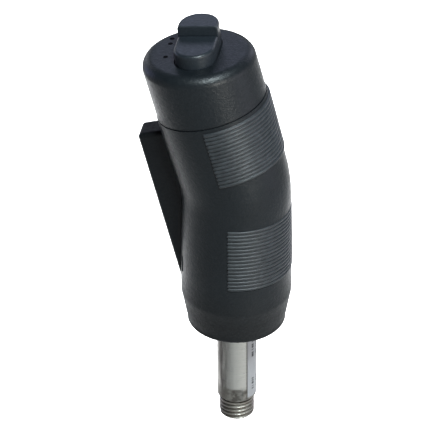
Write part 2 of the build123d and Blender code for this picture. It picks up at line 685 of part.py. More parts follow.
with BuildPart() as throttle_lever:
    add(lever_blank)
    long_edges = throttle_lever.edges().filter_by(
        lambda edge: edge.length > 50 and edge.center().X < -LEVER_INNER - 4
    )
    top_edges = throttle_lever.edges().filter_by(
        lambda edge: edge.length < 14 and edge.center().Z > KINK + 20
    )
    fillet(long_edges + top_edges, radius=LEVER_EDGE)
    add(bar(Plane.XZ, -LEVER_WIDTH / 2, LEVER_WIDTH, KNUCKLE_RADIUS, at=PIVOT))
    knuckle_web = (PIVOT[0] - 1.3, PIVOT[1])
    add(block(Plane.XZ, -LEVER_WIDTH / 2, LEVER_WIDTH, 2.6, 2 * KNUCKLE_RADIUS, at=knuckle_web))
    add(lever_hollow, mode=Mode.SUBTRACT)
    add(cheek_gap, mode=Mode.SUBTRACT)
    post_length = LEVER_FACE[0] - 1.0 + STEM_TIP - 0.3
    add(block(throttle_plane, 1.0 - LEVER_FACE[0], post_length, POST_WIDTH, POST_WIDTH))
    add(bar(Plane.XZ, -LEVER_WIDTH / 2, LEVER_WIDTH, PIN_RADIUS + RUNNING, at=PIVOT), mode=Mode.SUBTRACT)

with BuildPart() as lever_pin:
    add(bar(Plane.XZ, -LUG_WIDTH, 2 * LUG_WIDTH, PIN_RADIUS, at=PIVOT))

# ---- rear cap ------------------------------------------------------------------------------------
CAP_TOP_WALL = 3.2
WELL_CLEARANCE = 0.3
WELL_DEPTH = 7.2
WELL_FLOOR = 2.0
BOSS_RADIUS = 9.6
BUSHING_RADIUS = 8.2
BUSHING_INNER_END = 15.0
LUG_SPACING = 4.0
ROCKER_PIN_RADIUS = 1.0
MARKS = ((-13.0, 12.0), (-13.0, 7.6), (-13.0, -4.0))
MARK_RADIUS = 1.1
MARK_DEPTH = 0.4
SCREW_ANGLES = (48, 140)
SCREW_RADIUS = 1.5
SCREW_INNER = 21.7           # set screw's inner end, from the leaning axis
SCREW_LENGTH = 2.7
SCREW_SOCKET = 0.75
BUSHING_OUTER_END = 24.4
GASKET_INNER = 21.9
SCREEN_RADIUS = 4.6
TUBE_BORE = 1.3
TUBE_BOTTOM = 30.0
SCREW_HEIGHT = SEAM + GASKET + 2.6


def cap_form(inset, top_inset):
    """The cap's outer form made smaller, still square-edged."""
    with BuildPart() as form:
        add(bar(lean_plane, SEAM + GASKET, CAP_HEIGHT + 10, CAP_RADIUS - inset))
        split(bisect_by=cap_top_plane.offset(-top_inset), keep=Keep.BOTTOM)
    return form.part


def stadium(radius, span, bottom, height, taper=0):
    """Upright stadium in the cap's top frame, long side across the tool."""
    with BuildPart() as piece:
        with BuildSketch(cap_top_plane.offset(bottom)):
            with Locations((BUTTON_OFFSET, 0)):
                SlotOverall(span, 2 * radius, rotation=90)
        extrude(amount=height, taper=taper)
    return piece.part


def screw_plane(angle):
    """Plane on the tool's leaning axis that faces outwards at this angle."""
    turn = radians(angle)
    return cross_plane(lean_plane, (0, 0, SCREW_HEIGHT), (cos(turn), sin(turn), 0))


with BuildPart() as cap_hollow:
    add(cap_form(WALL, CAP_TOP_WALL))
    fillet(cap_hollow.faces().sort_by(Axis.Z)[-1].edges(), radius=2.5)

with BuildPart() as cap_insides:
    add(bar(inlet_plane, 10.6, 14, BOSS_RADIUS))
    add(stadium(BUTTON_RADIUS + 2.0, BUTTON_SPAN + 4.0, -WELL_DEPTH - WELL_FLOOR, 8))
    for side in (-1, 1):
        at = (BUTTON_OFFSET + side * LUG_SPACING, 0)
        add(block(cap_top_plane, -ROCKER_DEPTH - 2.4, ROCKER_DEPTH - 6, 2.0, 5.0, at=at))
    add(cap_form(WALL / 2, CAP_TOP_WALL / 2), mode=Mode.INTERSECT)

with BuildPart() as rear_cap:
    add(cap_form(0, 0))
    fillet(rear_cap.faces().sort_by(Axis.Z)[-1].edges(), radius=CAP_EDGE)
    add(cap_hollow.part, mode=Mode.SUBTRACT)
    add(cap_insides.part)
    well = stadium(BUTTON_RADIUS + WELL_CLEARANCE, BUTTON_SPAN + 2 * WELL_CLEARANCE, -WELL_DEPTH, 12)
    add(well, mode=Mode.SUBTRACT)
    for spool in SPOOLS:
        add(bar(cap_top_plane, -12, 8, SPOOL_RADIUS + 2 * RUNNING, at=spool), mode=Mode.SUBTRACT)
    rocker_pin_plane = cross_plane(cap_top_plane, (BUTTON_OFFSET, 0, -ROCKER_DEPTH), (1, 0, 0))
    add(bar(rocker_pin_plane, -6, 12, ROCKER_PIN_RADIUS), mode=Mode.SUBTRACT)
    add(bar(inlet_plane, BUSHING_INNER_END, 20, BUSHING_RADIUS), mode=Mode.SUBTRACT)
    add(bar(inlet_plane, 11.6, 5, 5.0), mode=Mode.SUBTRACT)
    add(bar(lean_plane, SEAM, 5.5, TRANSFER_RADIUS, at=TRANSFER), mode=Mode.SUBTRACT)
    for mark in MARKS:
        add(bar(cap_top_plane, -MARK_DEPTH, 2, MARK_RADIUS, at=mark), mode=Mode.SUBTRACT)
    for angle in SCREW_ANGLES:
        add(bar(screw_plane(angle), 15, 12, SCREW_RADIUS), mode=Mode.SUBTRACT)

with BuildPart() as selector_marks:
    for mark in MARKS:
        add(bar(cap_top_plane, -MARK_DEPTH, MARK_DEPTH, MARK_RADIUS, at=mark))

with BuildPart() as cap_set_screws:
    for angle in SCREW_ANGLES:
        add(bar(screw_plane(angle), SCREW_INNER, SCREW_LENGTH, SCREW_RADIUS))
        with BuildSketch(screw_plane(angle).offset(SCREW_INNER + 1.5)):
            RegularPolygon(radius=SCREW_SOCKET, side_count=6, major_radius=False)
        extrude(amount=1.3, mode=Mode.SUBTRACT)

with BuildPart() as cap_gasket:
    add(ring(lean_plane, SEAM, GASKET, CAP_RADIUS - 0.5, GASKET_INNER))

with BuildPart() as inlet_bushing:
    bushing_length = BUSHING_OUTER_END - BUSHING_INNER_END
    add(ring(inlet_plane, BUSHING_INNER_END, bushing_length, BUSHING_RADIUS, INLET_RADIUS))

with BuildPart() as inlet_screen:
    add(bar(inlet_plane, BUSHING_INNER_END - 0.6, 0.5, SCREEN_RADIUS))

with BuildPart() as transfer_tube:
    add(ring(lean_plane, TUBE_BOTTOM, SEAM + 4.0 - TUBE_BOTTOM, TRANSFER_RADIUS, TUBE_BORE, at=TRANSFER))

# ---- direction buttons and rocker ----------------------------------------------------------------
BUTTON_TAPER = 1.2
BUTTON_EDGE = 1.3            # soft edge round the top, and a crisper one at the step
STEP_EDGE = 0.5
ROCKER_TURN = 22.02          # half of the rocker's swing, in degrees
NOTCH_HEIGHT = 3.0
SPOOL_LENGTH = 38.0
SEAL_HEIGHTS = (2.0, 12.0)   # lower edges of the seal grooves, above the spool's lower end
SEAL_HEIGHT = 0.9
SEAL_DEPTH = 0.6
ROCKER_HUB = 2.2
ROCKER_ARM_WIDTH = 1.6
ROCKER_BALL = 1.45
ROCKER_HALF_THICKNESS = 1.2


def direction_button(side, low_end):
    """Half of the stadium on one side of the step."""
    bottom = low_end - BUTTON_HEIGHT
    with BuildPart() as button:
        add(stadium(BUTTON_RADIUS, BUTTON_SPAN, bottom, BUTTON_HEIGHT, taper=BUTTON_TAPER))
        keep = block(cap_top_plane, bottom - 1, BUTTON_HEIGHT + 2, 40, 40, at=(0, side * 20 + BUTTON_STEP))
        trim = side * BUTTON_GAP / 2
        add(keep.moved(Location((0, trim, 0))), mode=Mode.INTERSECT)
        top_edges = button.faces().sort_by(Axis.Z)[-1].edges()
        step_edge = top_edges.sort_by(Axis.Y)[0 if side > 0 else -1]
        fillet([edge for edge in top_edges if edge is not step_edge], radius=BUTTON_EDGE)
        step_edge = button.faces().sort_by(Axis.Z)[-1].edges().sort_by(Axis.Y)[0 if side > 0 else -1]
        fillet(step_edge, radius=STEP_EDGE)
    return button.part


def spool_rod(at, top, notch_centre):
    """Round spool with a notch for the rocker's arm and two grooves for its seals."""
    x, y = at
    side = 1 if y > 0 else -1
    bottom = top - SPOOL_LENGTH
    with BuildPart() as rod:
        add(bar(cap_top_plane, bottom, SPOOL_LENGTH, SPOOL_RADIUS, at=at))
        notch = block(
            cap_top_plane, notch_centre - NOTCH_HEIGHT / 2, NOTCH_HEIGHT, 6, 6, at=(x, side * (7.7 - 3))
        )
        add(notch, mode=Mode.SUBTRACT)
        for height in SEAL_HEIGHTS:
            groove = ring(cap_top_plane, bottom + height, 1.0, 3, SPOOL_RADIUS - SEAL_DEPTH, at=at)
            add(groove, mode=Mode.SUBTRACT)
    return rod.part


def spool_seals(at, top):
    """The two seals on a spool."""
    with BuildPart() as seals:
        for height in SEAL_HEIGHTS:
            bottom = top - SPOOL_LENGTH + height + 0.05
            add(ring(cap_top_plane, bottom, SEAL_HEIGHT, SPOOL_RADIUS, SPOOL_RADIUS - SEAL_DEPTH, at=at))
    return seals.part


forward_bottom = BUTTON_LOW - BUTTON_HEIGHT
reverse_bottom = forward_bottom + BUTTON_TRAVEL

with BuildPart() as forward_button:
    add(direction_button(-1, BUTTON_LOW))
with BuildPart() as reverse_button:
    add(direction_button(1, BUTTON_LOW + BUTTON_TRAVEL))
with BuildPart() as forward_spool:
    add(spool_rod(SPOOLS[0], forward_bottom, -ROCKER_DEPTH - BUTTON_TRAVEL / 2))
with BuildPart() as reverse_spool:
    add(spool_rod(SPOOLS[1], reverse_bottom, -ROCKER_DEPTH + BUTTON_TRAVEL / 2))
with BuildPart() as forward_spool_seals:
    add(spool_seals(SPOOLS[0], forward_bottom))
with BuildPart() as reverse_spool_seals:
    add(spool_seals(SPOOLS[1], reverse_bottom))

rocker_plane = Plane(
    origin=cap_top_plane.from_local_coords((BUTTON_OFFSET, 0, -ROCKER_DEPTH)),
    x_dir=(0, 1, 0),
    z_dir=(cos(CAP_TILT), 0, sin(CAP_TILT)),
)

with BuildPart() as selector_rocker:
    with BuildSketch(rocker_plane):
        Circle(ROCKER_HUB)
        Rectangle(2 * ROCKER_ARM, ROCKER_ARM_WIDTH, rotation=ROCKER_TURN)
        with PolarLocations(ROCKER_ARM, 2, start_angle=ROCKER_TURN):
            Circle(ROCKER_BALL)
        Circle(ROCKER_PIN_RADIUS + RUNNING, mode=Mode.SUBTRACT)
    extrude(amount=ROCKER_HALF_THICKNESS, both=True)

with BuildPart() as rocker_pin:
    add(bar(rocker_pin_plane, -5, 10, ROCKER_PIN_RADIUS))

# ---- write the parts -----------------------------------------------------------------------------
nodes = {
    "grip_housing": grip_housing,
    "upper_grip_pad": upper_grip_pad,
    "lower_grip_pad": lower_grip_pad,
    "rear_cap": rear_cap,
    "cap_gasket": cap_gasket,
    "cap_set_screws": cap_set_screws,
    "selector_marks": selector_marks,
    "forward_button": forward_button,
    "reverse_button": reverse_button,
    "forward_spool": forward_spool,
    "reverse_spool": reverse_spool,
    "forward_spool_seals": forward_spool_seals,
    "reverse_spool_seals": reverse_spool_seals,
    "selector_rocker": selector_rocker,
    "rocker_pin": rocker_pin,
    "inlet_bushing": inlet_bushing,
    "inlet_screen": inlet_screen,
    "transfer_tube": transfer_tube,
    "valve_body": valve_body,
    "throttle_bushing": throttle_bushing,
    "throttle_stem": throttle_stem,
    "throttle_poppet": throttle_poppet,
    "throttle_spring": throttle_spring,
    "throttle_plug": throttle_plug,
    "throttle_lever": throttle_lever,
    "lever_pin": lever_pin,
    "motor_housing": motor_housing,
    "rating_label": rating_label,
    "nose_bush": nose_bush,
    "spindle_bearing": spindle_bearing,
    "ring_gear": ring_gear,
    "output_spindle": output_spindle,
    "planet_pins": planet_pins,
    "sun_pinion": sun_pinion,
    "front_end_plate": front_end_plate,
    "front_bearing": front_bearing,
    "cylinder_liner": cylinder_liner,
    "rotor": rotor,
    "rotor_vanes": rotor_vanes,
    "rear_end_plate": rear_end_plate,
    "rear_bearing": rear_bearing,
    "motor_lock_ring": motor_lock_ring,
    "manifold_gasket": manifold_gasket,
    "exhaust_muffler": exhaust_muffler,
}
for index, planet_gear in enumerate(planet_gears, start=1):
    nodes[f"planet_gear_{index}"] = planet_gear

os.makedirs("parts", exist_ok=True)
for name, builder in nodes.items():
    builder.part.label = name
    export_step(builder.part, f"parts/{name}.step")
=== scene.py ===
import json
import bpy
from math import cos, floor, hypot, pi, radians, sin
from mathutils import Matrix, Vector


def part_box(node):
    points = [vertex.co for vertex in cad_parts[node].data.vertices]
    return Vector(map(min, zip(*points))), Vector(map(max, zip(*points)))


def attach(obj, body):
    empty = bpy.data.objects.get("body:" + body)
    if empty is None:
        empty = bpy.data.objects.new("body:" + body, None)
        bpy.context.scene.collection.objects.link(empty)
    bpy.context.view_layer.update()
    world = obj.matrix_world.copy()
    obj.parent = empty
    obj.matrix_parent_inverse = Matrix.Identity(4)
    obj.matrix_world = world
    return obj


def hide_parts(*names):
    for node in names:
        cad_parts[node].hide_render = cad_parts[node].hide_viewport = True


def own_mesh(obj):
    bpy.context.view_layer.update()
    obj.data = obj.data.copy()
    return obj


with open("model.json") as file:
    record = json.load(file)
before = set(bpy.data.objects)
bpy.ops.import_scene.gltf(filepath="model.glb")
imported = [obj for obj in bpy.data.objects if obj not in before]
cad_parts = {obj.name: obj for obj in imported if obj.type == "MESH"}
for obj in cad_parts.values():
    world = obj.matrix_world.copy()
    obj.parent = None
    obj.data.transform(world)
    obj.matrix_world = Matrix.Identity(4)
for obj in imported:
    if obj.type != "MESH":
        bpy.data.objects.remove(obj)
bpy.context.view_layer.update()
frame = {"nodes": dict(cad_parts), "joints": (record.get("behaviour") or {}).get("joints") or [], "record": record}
MM = 0.001

# ---- camera --------------------------------------------------------------------------------------
CAMERA_AZIMUTH = radians(10)
CAMERA_ELEVATION = radians(33)
CAMERA_ROLL = radians(-0.5)
CAMERA_DISTANCE = 1.5
CAMERA_TARGET = Vector((-9.54, 0, 96.4)) * MM
LENS = 281.03


def aim(obj, azimuth, elevation, distance, target, roll=0.0):
    """Puts obj at this azimuth and elevation round the target, looking at it along its own -Z."""
    back = Vector((sin(azimuth) * cos(elevation), -cos(azimuth) * cos(elevation), sin(elevation)))
    right = Vector((cos(azimuth), sin(azimuth), 0))
    up = back.cross(right)
    turned_right = right * cos(roll) + up * sin(roll)
    turned_up = up * cos(roll) - right * sin(roll)
    obj.matrix_world = Matrix.Translation(target + back * distance) @ Matrix(
        (turned_right, turned_up, back)
    ).transposed().to_4x4()


def add_camera():
    data = bpy.data.cameras.new("camera")
    data.lens = LENS
    camera = bpy.data.objects.new("camera", data)
    bpy.context.scene.collection.objects.link(camera)
    aim(camera, CAMERA_AZIMUTH, CAMERA_ELEVATION, CAMERA_DISTANCE, CAMERA_TARGET, CAMERA_ROLL)
    bpy.context.scene.camera = camera


# ---- light and floor -----------------------------------------------------------------------------
LAMP_DISTANCE = 1.6
# name, azimuth, elevation, width and height, power, tint
SOFTBOXES = (
    ("key_softbox", 45, 7, (0.5, 0.5), 17, (1.0, 1.0, 0.95)),
    ("front_softbox", 30, 57, (0.4, 0.3), 44, (0.84, 0.97, 1.0)),
    ("top_softbox", 60, 76, (0.25, 0.25), 7, (0.75, 0.88, 1.0)),
    ("right_softbox", 86, 5, (0.9, 0.8), 6, (0.92, 0.88, 1.0)),
    ("rear_right_softbox", 155, 20, (0.6, 0.8), 3, (0.80, 0.80, 1.0)),
    ("rear_softbox", -170, 32, (0.8, 0.5), 2.6, (0.68, 0.73, 1.0)),
    ("rear_left_softbox", -140, 10, (0.4, 0.8), 2, (0.85, 0.88, 1.0)),
    ("left_softbox", -112, 5, (0.4, 0.8), 2.6, (0.48, 0.54, 1.0)),
)
FLOOR_LAMP_PLACE = (-0.155, 0.85, -0.1)
FLOOR_LAMP_SIZE = (1.0, 1.3)
FLOOR_LAMP_POWER = 43
ROOM_TINT = (0.92, 0.96, 1.0, 1)
ROOM_LIGHT = 0.06
HORIZON_LIGHT = 0.42
HAZE_TOP = 0.25
FLOOR_GREY = 0.40
FLOOR_HALF = 12.0
FLOOR_HEIGHT = -0.45
FLOOR_GLOW = 0.36
GLOW_START, GLOW_FULL = 1.3, 2.2


def add_softbox(name, azimuth, elevation, size, power, tint):
    data = bpy.data.lights.new(name, "AREA")
    data.shape = "RECTANGLE"
    data.size, data.size_y = size
    data.energy = power
    data.color = tint
    lamp = bpy.data.objects.new(name, data)
    bpy.context.scene.collection.objects.link(lamp)
    aim(lamp, radians(azimuth), radians(elevation), LAMP_DISTANCE, CAMERA_TARGET)
    return lamp


def add_lights():
    """Softboxes round the object, and a wide lamp that looks straight down at the floor behind it."""
    for softbox in SOFTBOXES:
        add_softbox(*softbox)
    floor_lamp = add_softbox("floor_softbox", 0, 90, FLOOR_LAMP_SIZE, FLOOR_LAMP_POWER, (1, 1, 1))
    floor_lamp.location = FLOOR_LAMP_PLACE


def add_world():
    """Dim room light, brighter in a low haze that meets the floor's far edge."""
    world = bpy.data.worlds.new("studio")
    world.use_nodes = True
    nodes, links = world.node_tree.nodes, world.node_tree.links
    direction = nodes.new("ShaderNodeSeparateXYZ")
    links.new(nodes.new("ShaderNodeTexCoord").outputs["Generated"], direction.inputs["Vector"])
    strength = nodes.new("ShaderNodeMapRange")
    links.new(direction.outputs["Z"], strength.inputs["Value"])
    strength.inputs["From Min"].default_value = HAZE_TOP / 2
    strength.inputs["From Max"].default_value = HAZE_TOP
    strength.inputs["To Min"].default_value = HORIZON_LIGHT
    strength.inputs["To Max"].default_value = ROOM_LIGHT
    background = nodes["Background"]
    background.inputs["Color"].default_value = ROOM_TINT
    links.new(strength.outputs["Result"], background.inputs["Strength"])
    bpy.context.scene.world = world


def add_floor():
    """Plain paper floor that glows softly far out, so that it stays pale from every side."""
    mesh = bpy.data.meshes.new("floor")
    signs = ((-1, -1), (1, -1), (1, 1), (-1, 1))
    mesh.from_pydata([(x * FLOOR_HALF, y * FLOOR_HALF, FLOOR_HEIGHT) for x, y in signs], [], [(0, 1, 2, 3)])
    floor_object = bpy.data.objects.new("floor", mesh)
    bpy.context.scene.collection.objects.link(floor_object)
    g = Graph("floor_paper")
    away = g.node("ShaderNodeVectorMath", Vector=g.place)
    away.operation = "LENGTH"
    g.feed(g.shader.inputs["Emission Color"], (1, 1, 1, 1))
    glow = g.spread(away.outputs["Value"], 0, FLOOR_GLOW, GLOW_START, GLOW_FULL)
    g.feed(g.shader.inputs["Emission Strength"], glow)
    g.finish((FLOOR_GREY, FLOOR_GREY, FLOOR_GREY, 1), 0.9, Specular_IOR_Level=0.1)
    mesh.materials.append(g.material)


# ---- materials -----------------------------------------------------------------------------------
class Graph:
    """Short names for making and linking nodes in one material."""

    def __init__(self, name):
        self.material = bpy.data.materials.new(name)
        self.material.use_nodes = True
        self.tree = self.material.node_tree
        self.shader = self.tree.nodes["Principled BSDF"]
        self.place = self.node("ShaderNodeTexCoord").outputs["Object"]

    def node(self, kind, **inputs):
        made = self.tree.nodes.new(kind)
        for key, value in inputs.items():
            self.feed(made.inputs[key.replace("_", " ")], value)
        return made

    def feed(self, socket, value):
        if isinstance(value, bpy.types.NodeSocket):
            self.tree.links.new(value, socket)
        else:
            socket.default_value = value

    def stretch(self, scale):
        """The place on the object, stretched along X, Y and Z."""
        return self.node("ShaderNodeMapping", Vector=self.place, Scale=scale).outputs["Vector"]

    def noise(self, scale, detail=3.0, place=None, rough=0.55):
        made = self.node("ShaderNodeTexNoise", Vector=place or self.place, Scale=scale, Detail=detail)
        made.inputs["Roughness"].default_value = rough
        return made.outputs["Fac"]

    def spread(self, value, low, high, start=0.3, stop=0.7):
        """A noise value mapped to run from low to high."""
        made = self.node("ShaderNodeMapRange", Value=value)
        made.inputs["From Min"].default_value = start
        made.inputs["From Max"].default_value = stop
        made.inputs["To Min"].default_value = low
        made.inputs["To Max"].default_value = high
        return made.outputs["Result"]

    def blend(self, factor, first, second):
        made = self.tree.nodes.new("ShaderNodeMix")
        made.data_type = "RGBA"
        self.feed(made.inputs[0], factor)
        self.feed(made.inputs[6], first)
        self.feed(made.inputs[7], second)
        return made.outputs[2]

    def math(self, operation, *values):
        made = self.tree.nodes.new("ShaderNodeMath")
        made.operation = operation
        for socket, value in zip(made.inputs, values):
            self.feed(socket, value)
        return made.outputs[0]

    def coordinates(self):
        made = self.node("ShaderNodeSeparateXYZ", Vector=self.place)
        return made.outputs["X"], made.outputs["Y"], made.outputs["Z"]

    def bump(self, height, depth, under=None):
        made = self.node("ShaderNodeBump", Height=height, Distance=depth, Strength=1.0)
        if under is not None:
            self.tree.links.new(under, made.inputs["Normal"])
        return made.outputs["Normal"]

    def finish(self, colour, roughness, normal=None, **uniform):
        self.feed(self.shader.inputs["Base Color"], colour)
        self.feed(self.shader.inputs["Roughness"], roughness)
        if normal is not None:
            self.tree.links.new(normal, self.shader.inputs["Normal"])
        for key, value in uniform.items():
            self.shader.inputs[key.replace("_", " ")].default_value = value
        return self.material


def shade(colour, factor):
    return tuple(part * factor for part in colour) + (1,)


DARK_END_FADE = 0.02
DARK_END_MATTE = 0.25


def moulded_plastic(name, colour, roughness, grain, gloss=0.28, shaded_below=0.0):
    """Spark-textured moulding with faint flow marks; below a given height it is duller and darkened by painted
    shade.
    """
    g = Graph(name)
    tone = g.blend(g.spread(g.noise(55, 4), 0, 1), shade(colour, 0.88), shade(colour, 1.14))
    shine = g.spread(g.noise(700, 3), roughness - 0.06, roughness + 0.06)
    if shaded_below:
        height = g.coordinates()[2]
        fade_top = shaded_below + DARK_END_FADE
        # painted shade: below this height the colour turns far darker
        tone = g.blend(g.spread(height, 1, 0, shaded_below, fade_top), tone, shade(colour, 0.35))
        shine = g.math("ADD", shine, g.spread(height, DARK_END_MATTE, 0, shaded_below, fade_top))
    tone = g.blend(g.spread(g.noise(2600, 2), 0, 0.5, 0.5, 0.75), tone, shade(colour, 2.4))
    normal = g.bump(g.noise(1900, 3), grain, g.bump(g.noise(750, 2), grain * 1.3))
    return g.finish(tone, shine, normal, Specular_IOR_Level=gloss)


def rubber(name, colour, roughness, grain):
    """Soft moulding with a dusty bloom on what stands out."""
    g = Graph(name)
    dust = g.spread(g.noise(420, 5), 0, 1, 0.45, 0.75)
    tone = g.blend(dust, shade(colour, 0.9), shade(colour, 1.5))
    shine = g.spread(g.noise(300, 3), roughness - 0.06, roughness + 0.06)
    normal = g.bump(g.noise(2400, 3), grain)
    return g.finish(tone, shine, normal, Specular_IOR_Level=0.34)


def turned_metal(name, colour, dark_tone, roughness, groove):
    """Lathe-turned metal: fine rings across the axis, with faint stains of oil."""
    g = Graph(name)
    rings = g.noise(1, 4, g.stretch((90, 90, 5200)), 0.7)
    patches = g.spread(g.noise(1, 4, g.stretch((260, 260, 70))), 0, 0.85, 0.40, 0.62)
    streak = g.blend(g.spread(rings, 0, 1), shade(colour, 0.86), shade(colour, 1.08))
    tone = g.blend(patches, streak, dark_tone + (1,))
    shine = g.spread(g.noise(1, 3, g.stretch((200, 200, 2600))), roughness - 0.07, roughness + 0.09)
    normal = g.bump(rings, groove)
    return g.finish(tone, shine, normal, Metallic=1.0)


def nose_steel(name, colour, dark_tone, grime_and_shade_colour):
    """Turned steel, with painted shade in streaky runs on the lever side and a painted shadow line at the label's
    edge, grime in the thread and painted shade on the wrench flats.
    """
    g = Graph(name)
    x, y, z = g.coordinates()
    rings = g.noise(1, 4, g.stretch((90, 90, 5200)), 0.7)
    runs = g.noise(1, 4, g.stretch((520, 520, 60)), 0.6)
    # painted shade: the lever side of the nose is darkened, in streaky runs
    lever_side = g.spread(x, 1, 0, -0.0055, 0.0005)
    painted_shade = g.math("MULTIPLY", lever_side, g.spread(runs, 0.55, 1, 0.35, 0.6))
    # painted shadow: a thin dark line along the label's edge, joined to the painted shade
    label_edge = g.math("COMPARE", g.math("ARCTAN2", y, x), radians(-50), radians(2.4))
    painted_shade = g.math("MAXIMUM", painted_shade, g.math("MULTIPLY", label_edge, 0.6))
    # grime in the thread; on the wrench flats and just above them the same mask gives a darker tone that is
    # painted shade
    low_end = g.spread(z, 1, 0, 0.006, 0.0085)
    grime_and_shade = g.math("MULTIPLY", low_end, g.spread(g.noise(420, 4), 0.6, 1, 0.4, 0.6))
    grime_and_shade_tone = g.blend(g.spread(z, 0, 1, -0.001, 0.0002), shade(grime_and_shade_colour, 2.2), shade(grime_and_shade_colour, 1.0))
    tone = g.blend(g.spread(rings, 0, 1), shade(colour, 0.84), shade(colour, 1.08))
    tone = g.blend(grime_and_shade, g.blend(painted_shade, tone, dark_tone + (1,)), grime_and_shade_tone)
    shine = g.math("ADD", g.spread(rings, 0.24, 0.38), g.math("MULTIPLY", grime_and_shade, 0.12))
    return g.finish(tone, shine, g.bump(rings, 0.000006), Metallic=1.0)


def ground_metal(name, colour, roughness, scale, depth):
    """Metal with an even fine texture, from a fine grind up to a casting's grain."""
    g = Graph(name)
    grain = g.noise(scale, 4)
    tone = g.blend(g.spread(grain, 0, 1), shade(colour, 0.85), shade(colour, 1.12))
    shine = g.spread(g.noise(scale / 4, 3), roughness - 0.06, roughness + 0.08)
    return g.finish(tone, shine, g.bump(grain, depth), Metallic=1.0)


def porous(name, colour, second, scale, depth, metallic):
    """Sintered metal or felt: small grains with dark gaps between them."""
    g = Graph(name)
    cells = g.node("ShaderNodeTexVoronoi", Vector=g.place, Scale=scale).outputs["Distance"]
    tone = g.blend(g.spread(cells, 0, 1, 0.2, 0.7), shade(colour, 1.0), shade(second, 1.0))
    return g.finish(tone, 0.7, g.bump(cells, -depth), Metallic=metallic)


def laminate(name, colour):
    """Phenolic sheet, with its layers of woven cloth."""
    g = Graph(name)
    layers = g.noise(1, 3, g.stretch((3500, 3500, 400)))
    tone = g.blend(g.spread(layers, 0, 1), shade(colour, 0.75), shade(colour, 1.3))
    return g.finish(tone, 0.5, g.bump(layers, 0.00003))


# places round the barrel in degrees, and stretches along it in millimetres
LABEL_COLUMNS = ((-28, 4.5), (-8, 3.5))
LABEL_ROWS = ((6, 12.5), (24, 41))


def foil(name, colour, ink):
    """Satin label stock with plain printed dashes, in columns round the nose and rows along it."""
    g = Graph(name)
    x, y, z = g.coordinates()
    angle = g.math("ARCTAN2", y, x)
    dashes = g.spread(g.noise(1, 1, g.stretch((0, 0, 900))), 0, 1, 0.47, 0.5)
    column = 0.0
    for place, half in LABEL_COLUMNS:
        column = g.math("MAXIMUM", column, g.math("COMPARE", angle, radians(place), radians(half)))
    row = 0.0
    for low, high in LABEL_ROWS:
        row = g.math("MAXIMUM", row, g.math("COMPARE", z, (low + high) / 2 * MM, (high - low) / 2 * MM))
    print_mask = g.math("MULTIPLY", dashes, g.math("MULTIPLY", column, row))
    sheen = g.noise(1, 3, g.stretch((600, 600, 60)))
    tone = g.blend(g.spread(sheen, 0, 1), shade(colour, 0.93), shade(colour, 1.05))
    tone = g.blend(print_mask, tone, ink + (1,))
    shine = g.spread(g.noise(260, 3), 0.4, 0.55)
    return g.finish(tone, shine, g.bump(g.noise(210, 3), 0.00003), Metallic=0.2)


def dot_paint(name, colour):
    """Small printed dots with a soft, slightly worn edge."""
    g = Graph(name)
    wear = g.spread(g.noise(1500, 4), 0, 0.5, 0.5, 0.7)
    tone = g.blend(wear, shade(colour, 1.0), shade(colour, 0.4))
    return g.finish(tone, 0.8, g.bump(wear, 0.00002), Specular_IOR_Level=0.04)


def make_materials():
    black = (0.0042, 0.0056, 0.0069)
    # painted shade: the lever's black is made darker than the housing's
    shaded_lever_black = (0.0024, 0.0029, 0.0036)
    # painted light: the buttons' black is made lighter than the housing's
    lit_button_black = (0.009, 0.0115, 0.0145)
    steel, painted_shade, grime_and_shade_colour = (0.51, 0.49, 0.455), (0.065, 0.058, 0.052), (0.11, 0.10, 0.088)
    bronze, pores = (0.42, 0.26, 0.12), (0.08, 0.05, 0.03)
    return {
        "housing_plastic": moulded_plastic("housing_plastic", black, 0.38, 0.00009, 0.24, 0.052),
        "lever_plastic": moulded_plastic("lever_plastic", shaded_lever_black, 0.46, 0.00008, 0.17),
        "button_plastic": moulded_plastic("button_plastic", lit_button_black, 0.37, 0.00007),
        "pad_rubber": rubber("pad_rubber", (0.0165, 0.0187, 0.0212), 0.42, 0.00005),
        "seal_rubber": rubber("seal_rubber", (0.008, 0.008, 0.009), 0.6, 0.00001),
        "black_oxide_steel": ground_metal("black_oxide_steel", (0.05, 0.05, 0.055), 0.4, 2200, 0.000006),
        "dot_paint": dot_paint("dot_paint", (0.0008, 0.0008, 0.001)),
        "ground_steel": ground_metal("ground_steel", (0.60, 0.60, 0.61), 0.22, 3200, 0.000003),
        "turned_steel": nose_steel("turned_steel", steel, painted_shade, grime_and_shade_colour),
        "gear_steel": ground_metal("gear_steel", (0.33, 0.33, 0.34), 0.35, 1800, 0.000006),
        "spring_steel": ground_metal("spring_steel", (0.45, 0.45, 0.46), 0.3, 2600, 0.000003),
        "filter_bronze": porous("filter_bronze", bronze, pores, 2600, 0.00005, 0.9),
        "brass": turned_metal("brass", (0.68, 0.50, 0.23), (0.35, 0.23, 0.10), 0.3, 0.000004),
        "cast_aluminium": ground_metal("cast_aluminium", (0.62, 0.63, 0.64), 0.5, 900, 0.00003),
        "cast_iron": ground_metal("cast_iron", (0.22, 0.22, 0.225), 0.45, 1300, 0.00001),
        "label_foil": foil("label_foil", (0.235, 0.235, 0.245), (0.02, 0.02, 0.025)),
        "vane_laminate": laminate("vane_laminate", (0.20, 0.09, 0.04)),
        "felt": porous("felt", (0.30, 0.29, 0.26), (0.12, 0.115, 0.10), 3200, 0.0001, 0.0),
    }


def dress_nodes(materials):
    """Every CAD node gets the material of its slot."""
    for entry in frame["record"]["subparts"]:
        mesh = frame["nodes"][entry["node"]].data
        mesh.materials.clear()
        mesh.materials.append(materials[entry["material_slot"]])


# ---- pieces that stand for CAD nodes -------------------------------------------------------------
def smooth_by_angle(mesh, limit):
    """Smooth faces, with the edges sharper than the limit kept sharp."""
    for polygon in mesh.polygons:
        polygon.use_smooth = True
    mesh.set_sharp_from_angle(angle=limit)


